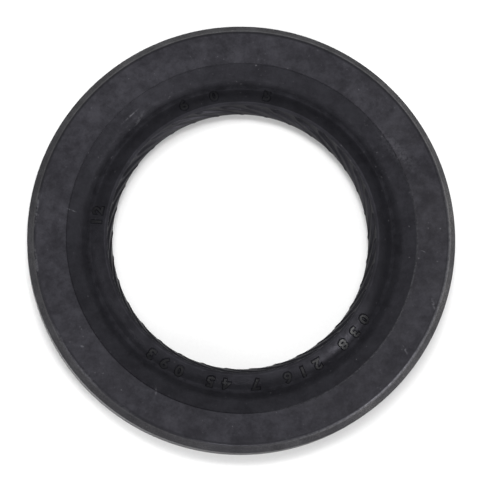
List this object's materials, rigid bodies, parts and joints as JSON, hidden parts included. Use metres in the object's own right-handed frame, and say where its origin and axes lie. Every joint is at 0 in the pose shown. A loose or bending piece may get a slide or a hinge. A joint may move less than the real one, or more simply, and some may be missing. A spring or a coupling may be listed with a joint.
{
  "type": "radial shaft seal",
  "caption": "Rubber-covered radial shaft seal with a sprung main lip that carries helical pumping ribs, a dust lip and an enclosed steel ring.",
  "frame": {"origin": "shaft axis at the oil-side end face, on which the seal rests", "axes": "+Z along the shaft axis from the oil side to the air side; +X and +Y are radial"},
  "size_m": [0.0722, 0.0722, 0.01],
  "materials": {
    "rubber": "matt moulded nitrile rubber",
    "pressed_steel": "phosphated cold-rolled steel",
    "spring_steel": "bright drawn spring wire"
  },
  "bodies": {
    "root": {"seal_body": "rubber", "stiffening_ring": "pressed_steel", "garter_spring": "spring_steel"}
  },
  "joints": []
}
